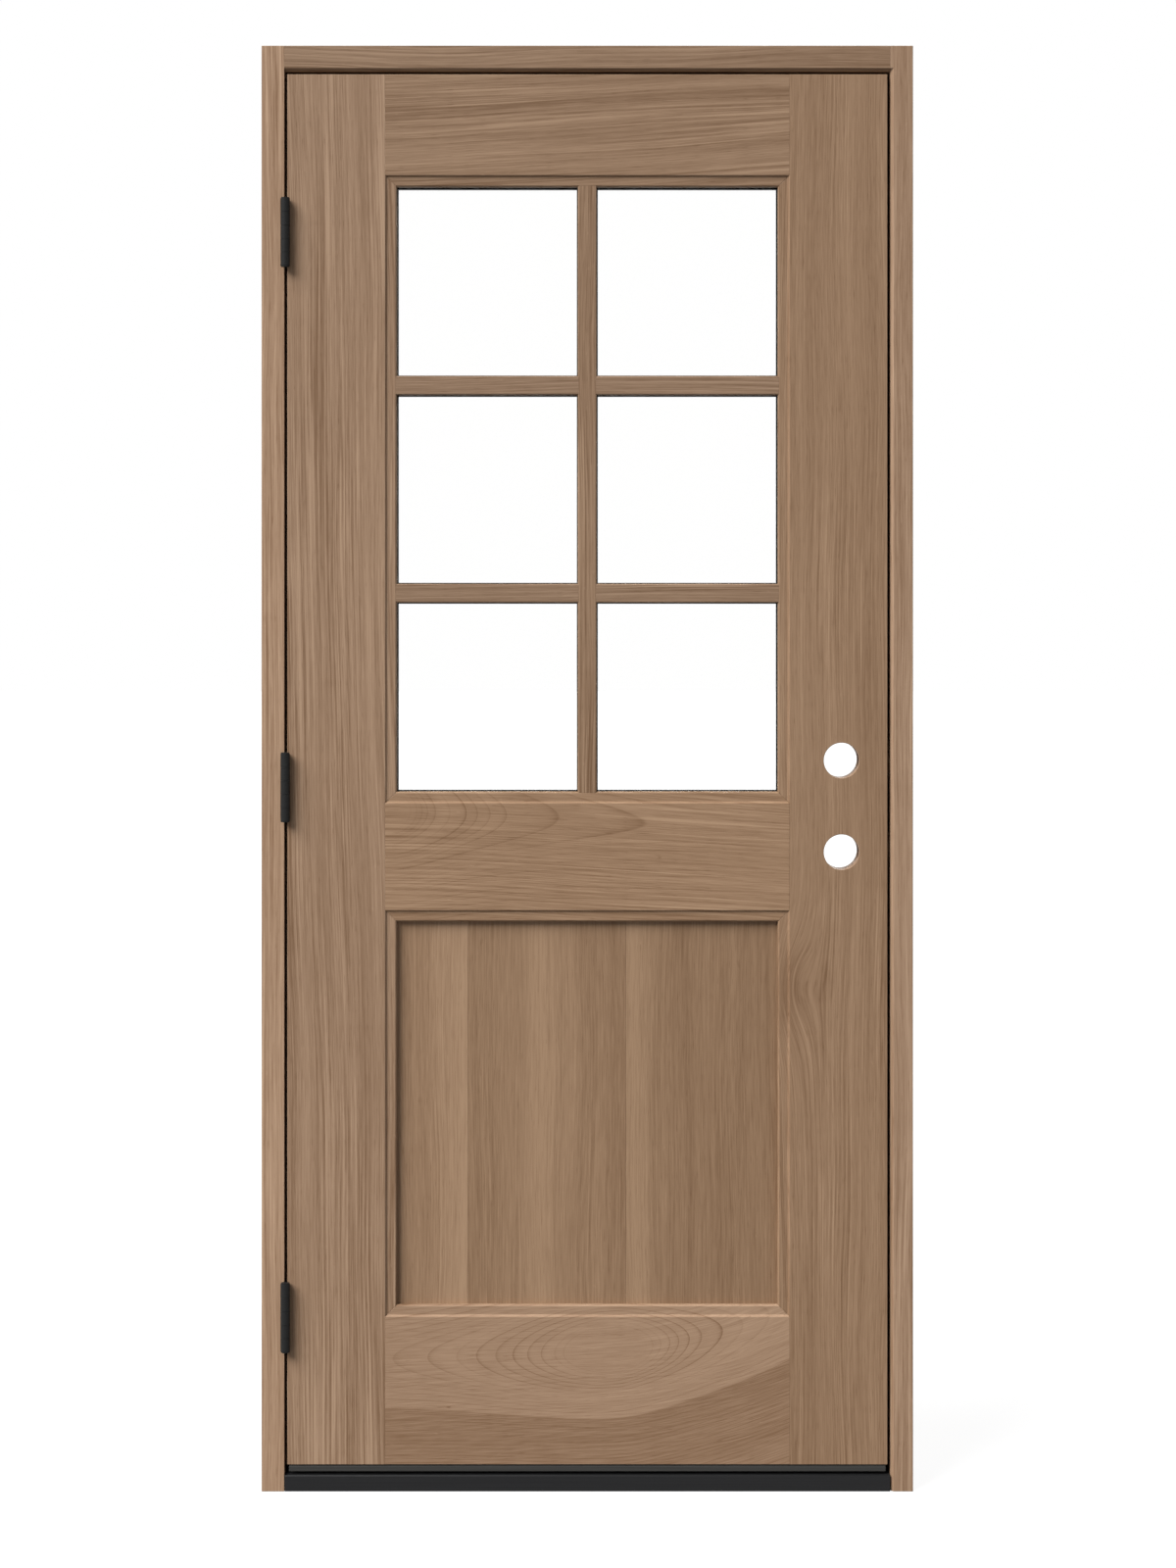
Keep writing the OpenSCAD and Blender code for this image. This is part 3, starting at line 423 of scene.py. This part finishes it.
TIMBER = np.array(linear(150, 121, 96)[:3])
CONTRAST = np.array([0.38, 0.455, 0.54])  # red changes least from dark to pale wood, and blue most
WARMTH = np.array([0.5, 0.0, -1.0])  # a warmer board has more red and less blue
FACE = 0.057  # from the middle of the frame to the slab's front face, where depth is 0
TIMBER_GLOSS = 0.3
GRAIN_RELIEF = 0.25
GRAIN_DEPTH = 0.0004


def timber(piece, along_axis, seed, shade, warm=0.0, **figure):
    """A board's material, with the grain along one axis of the piece's own coordinates. Its two tones are
    TIMBER * shade * (1 + warm * WARMTH), times 1 + CONTRAST and 1 - CONTRAST."""
    material, w = new_material(piece + "_timber")
    place = w.add("ShaderNodeSeparateXYZ", {0: w.add("ShaderNodeTexCoord").outputs["Object"]}).outputs
    across_axis = "X" if along_axis == "Z" else "Z"
    tint = TIMBER * shade * (1 + warm * WARMTH)
    board = {name.replace("_", " ").capitalize(): value for name, value in figure.items()}
    board["Along"] = place[along_axis]
    board["Depth"] = w.plus(place["Y"], FACE)
    board["Across"] = place[across_axis]
    board["Seed"] = seed
    for name, factor in (("Light tone", 1 + CONTRAST), ("Dark tone", 1 - CONTRAST)):
        board[name] = (*np.clip(tint * factor, 0, 1), 1.0)
    node = w.add("ShaderNodeGroup", board, node_tree=grain).outputs
    bump = w.add("ShaderNodeBump", {"Strength": GRAIN_RELIEF, "Distance": GRAIN_DEPTH,
                                    "Height": node["Height"]})
    surface = w.add("ShaderNodeBsdfPrincipled", {
        "Base Color": node["Color"], "Roughness": node["Roughness"],
        "Specular IOR Level": TIMBER_GLOSS, "Normal": bump.outputs[0]})
    w.add("ShaderNodeOutputMaterial", {"Surface": surface.outputs[0]})
    dress(piece, material)


print("mid timber tone", TIMBER.round(3))

# %% Timber on the frame and the slab
timber("hinge_jamb", "Z", seed=1, shade=1.185, warm=-0.015, band_strength=0.8, streak_strength=1.4)
timber("strike_jamb", "Z", seed=2, shade=1.02, warm=-0.02, band_strength=0.9, streak_strength=1.2)
timber("head_jamb", "X", seed=3, shade=0.775, warm=0.02, wander=0.02, ring_strength=0.6,
       band_strength=1.0, streak_strength=1.3)
timber("hinge_stile", "Z", seed=4, shade=0.955, lean=-0.02, wander=0.008,
       band_strength=1.1, streak_strength=2.0)
timber("lock_stile", "Z", seed=5, shade=0.845, warm=0.05, band_strength=0.75, streak_strength=1.15,
       eye_along=0.768, eye_across=0.308, eye_size=0.04, eye_push=0.03, eye_dark=0.32)
timber("top_rail", "X", seed=6, shade=0.83, warm=0.03, lean=0.05, ring_strength=0.5, ring_width=0.017,
       band_strength=1.5, streak_strength=1.5)
timber("lock_rail", "X", seed=7, shade=0.92, warm=0.05, heart_along=-0.307, heart_across=1.037,
       stretch_back=1.0, stretch_ahead=1.0, reach=0.105, lean=-0.012, sweep=-0.06, wander=0.007,
       ring_strength=0.8, ring_width=0.0065, band_strength=0.7, streak_strength=1.5,
       eye_along=0.11, eye_across=0.965, eye_size=0.002, eye_push=0.002, eye_dark=0.4)
timber("bottom_rail", "X", seed=8, shade=1.05, warm=-0.015, heart_along=0.037, heart_across=0.2207,
       stretch_back=1.8, stretch_ahead=1.5, reach=0.0964, lean=0.055, sweep=0.56,
       ring_strength=1.0, ring_width=0.0052, band_strength=0.5, streak_strength=0.5,
       dark_from=0.108, dark_strength=0.38,
       eye_along=-0.2113, eye_across=0.1285, eye_size=0.002, eye_push=0.002, eye_dark=0.5)
timber("hinge_side_stave", "Z", seed=9, shade=0.855, warm=0.06, band_strength=0.6, streak_strength=0.65,
       pale_at=-0.187, pale_width=0.05, pale_strength=0.42)
timber("middle_stave", "Z", seed=10, shade=0.785, warm=0.075, band_strength=0.6, streak_strength=0.6,
       pale_at=-0.068, pale_width=0.04, pale_strength=0.34)
timber("lock_side_stave", "Z", seed=11, shade=0.76, warm=0.08, band_strength=0.8, streak_strength=0.65,
       pale_at=0.061, pale_width=0.042, pale_strength=0.37)
print("boards", sum(m.name.endswith("_timber") for m in bpy.data.materials))

# %% Timber on the small pieces
UPRIGHT_PIECES = ("front_muntin_upright", "back_muntin_upright", "hinge_side_bead", "lock_side_bead")
LEVEL_PIECES = ("front_muntin_bars", "back_muntin_bars", "top_bead", "bottom_bead", "rail_dowels")
for seed, piece in enumerate(UPRIGHT_PIECES, start=12):
    timber(piece, "Z", seed, shade=0.82, warm=0.03, streak_strength=3.2)
for seed, piece in enumerate(LEVEL_PIECES, start=20):
    timber(piece, "X", seed, shade=0.80, streak_strength=2.0)
timber_pieces = [m.name.removesuffix("_timber") for m in bpy.data.materials if m.name.endswith("_timber")]
print("timber pieces", len(timber_pieces))

# %% [markdown]
# ## Eased edges
# A joiner takes the sharpness off every edge with a stroke of sandpaper. Those fine rounds catch the light
# and draw the thin lines where two boards meet. The Bevel modifier makes them; the solids arrive as loose
# triangles, so a Weld modifier joins them first and a planar Decimate turns each flat face into one polygon.
# Drawn metal has rounded edges too, so the sill and the sweep get them as well. The dowels stay as they are,
# because they are out of sight in their holes.

# %% Eased edges
JOIN_WITHIN = 0.00002
FLAT_WITHIN = math.radians(0.5)
SHARP_FROM = math.radians(25)
ROUND_STEPS = 2
TIMBER_ROUND = 0.0006
METAL_ROUND = 0.0008


def ease(piece, width):
    """Rounds off each edge that turns by more than SHARP_FROM, starting at the width from it."""
    weld = parts[piece].modifiers.new("joined", "WELD")
    weld.merge_threshold = JOIN_WITHIN
    flat = parts[piece].modifiers.new("flat_faces", "DECIMATE")
    flat.decimate_type = "DISSOLVE"
    flat.angle_limit = FLAT_WITHIN
    round_off = parts[piece].modifiers.new("eased", "BEVEL")
    round_off.width = width
    round_off.segments = ROUND_STEPS
    round_off.use_clamp_overlap = False
    round_off.limit_method = "ANGLE"
    round_off.angle_limit = SHARP_FROM


boards = [piece for piece in timber_pieces if piece != "rail_dowels"]
drawn_metal = ("sill_deck", "sill_saddle", "door_sweep")
for piece in boards:
    ease(piece, TIMBER_ROUND)
for piece in drawn_metal:
    ease(piece, METAL_ROUND)
print("eased", len(boards), "boards and", len(drawn_metal), "metal pieces")

# %% [markdown]
# ## Metal and rubber
# These are plain finishes next to the timber, but none is flat: paint and anodising have a fine grit, and
# drawn metal has lines along its length. A second small group gives that grit as a mask, which moves the
# colour and the roughness and lifts the surface a little.

# %% Grit group
GRIT = 900.0  # grains per metre
grit = bpy.data.node_groups.new("surface_grit", "ShaderNodeTree")
for name in ("Along", "Across"):
    grit.interface.new_socket(name, in_out="INPUT", socket_type="NodeSocketFloat").default_value = GRIT
grit.interface.new_socket("Mask", in_out="OUTPUT", socket_type="NodeSocketFloat")
w = Wiring(grit)
given = w.add("NodeGroupInput").outputs
place = w.add("ShaderNodeSeparateXYZ", {0: w.add("ShaderNodeTexCoord").outputs["Object"]}).outputs
grit_at = w.vector(w.times(place["X"], given["Along"]), w.times(place["Y"], given["Across"]),
                   w.times(place["Z"], given["Across"]))
w.add("NodeGroupOutput", {"Mask": w.noise(grit_at, detail=3.0)})
print("grit group", len(grit.nodes), "nodes")

# %% Finishes of hinges, sill and sweep
GRIT_RELIEF = 0.15
GRIT_DEPTH = 0.0001


def finish(name, pieces, dark, light, roughness, along=GRIT, metallic=0.0, specular=0.5):
    """A finish that goes from the dark to the light colour, and from the first to the second roughness, as
    the grit mask rises. Along is the number of grains per metre in the length of a drawn piece."""
    material, w = new_material(name)
    mask = w.add("ShaderNodeGroup", {"Along": along, "Across": GRIT}, node_tree=grit).outputs["Mask"]
    rising = w.ramp(mask, low=0.3, high=0.7)
    smooth, rough = roughness
    bump = w.add("ShaderNodeBump", {"Strength": GRIT_RELIEF, "Distance": GRIT_DEPTH, "Height": mask})
    surface = w.add("ShaderNodeBsdfPrincipled", {
        "Base Color": w.blend(rising, linear(*dark), linear(*light)), "Metallic": metallic,
        "Roughness": w.scaled(rising, rough - smooth, smooth),
        "Specular IOR Level": specular, "Normal": bump.outputs[0]})
    w.add("ShaderNodeOutputMaterial", {"Surface": surface.outputs[0]})
    for piece in pieces:
        dress(piece, material)
    print(name, "on", len(pieces), "pieces")


hinge_pieces = [piece for piece in parts if piece.split("_")[1] == "hinge"]  # leaves and pins
hinge_pieces += ["hinge_frame_screws", "hinge_door_screws"]
finish("satin_black", hinge_pieces, dark=(24, 24, 24), light=(31, 31, 31), roughness=(0.42, 0.56),
       specular=0.15)
finish("dark_anodised", ["sill_deck", "sill_saddle"], dark=(26, 26, 27), light=(32, 32, 33),
       roughness=(0.42, 0.56), along=4.0, specular=0.15)
finish("grey_anodised", ["door_sweep"], dark=(48, 47, 45), light=(56, 55, 53),
       roughness=(0.40, 0.55), along=4.0, specular=0.2)
finish("dark_composite", ["sill_base"], dark=(38, 37, 36), light=(46, 45, 43),
       roughness=(0.7, 0.85), specular=0.2)

# %% Finishes of seals, screws and glazing
finish("vinyl", ["hinge_side_seal", "strike_side_seal", "head_seal", "sill_seal", "sweep_fins"],
       dark=(26, 24, 22), light=(34, 32, 30), roughness=(0.55, 0.7), specular=0.25)
finish("glazing_rubber", ["glass_edge_seal", "setting_blocks", "front_glazing_tape", "back_glazing_tape"],
       dark=(20, 20, 20), light=(27, 27, 27), roughness=(0.6, 0.75), specular=0.2)
finish("zinc_plated", ["head_screws", "sill_screws", "sweep_screws"],
       dark=(168, 168, 164), light=(190, 190, 186), roughness=(0.3, 0.45), metallic=1.0)
finish("black_anodised", ["glass_spacer", "glass_grid"],
       dark=(20, 19, 18), light=(26, 25, 24), roughness=(0.5, 0.62), along=6.0, specular=0.1)

# %% [markdown]
# ## Glass
# The glass is clear: two thin panes with air between, coated so that they hardly mirror the room, which is
# why their refraction value is low. A shader that bends light would also stop the lamps from shining
# through, so for shadow rays, and for soft light on its way from one board to another, the pane is simply
# see-through. That keeps specks of stray light off the edges round the glass.

# %% Glass
PANE_COLOUR = (0.999, 0.999, 0.998, 1)
PANE_TINT = (0.95, 0.97, 0.96, 1)  # of lamp light and soft light that goes through
REFRACTION = 1.15
SMEARS = 14.0  # per metre
MOST_HAZE = 0.004
PANES = ("outer_pane", "inner_pane")

clear, w = new_material("clear_glass")
smears = w.add("ShaderNodeGroup", {"Along": SMEARS, "Across": SMEARS}, node_tree=grit).outputs["Mask"]
haze = w.ramp(smears, low=0.45, high=0.8, out_high=MOST_HAZE)
pane = w.add("ShaderNodeBsdfPrincipled", {"Base Color": PANE_COLOUR, "Roughness": haze, "IOR": REFRACTION,
                                          "Transmission Weight": 1.0})
through = w.add("ShaderNodeBsdfTransparent", {"Color": PANE_TINT})
path = w.add("ShaderNodeLightPath").outputs
surface = pane.outputs[0]
for ray in ("Is Shadow Ray", "Is Diffuse Ray"):
    surface = w.add("ShaderNodeMixShader", {0: path[ray], 1: surface, 2: through.outputs[0]}).outputs[0]
w.add("ShaderNodeOutputMaterial", {"Surface": surface})
for piece in PANES:
    dress(piece, clear)
print("glass on", len(PANES), "panes")

# %% [markdown]
# ## Size
# The looks must not change the size of the dressed door.
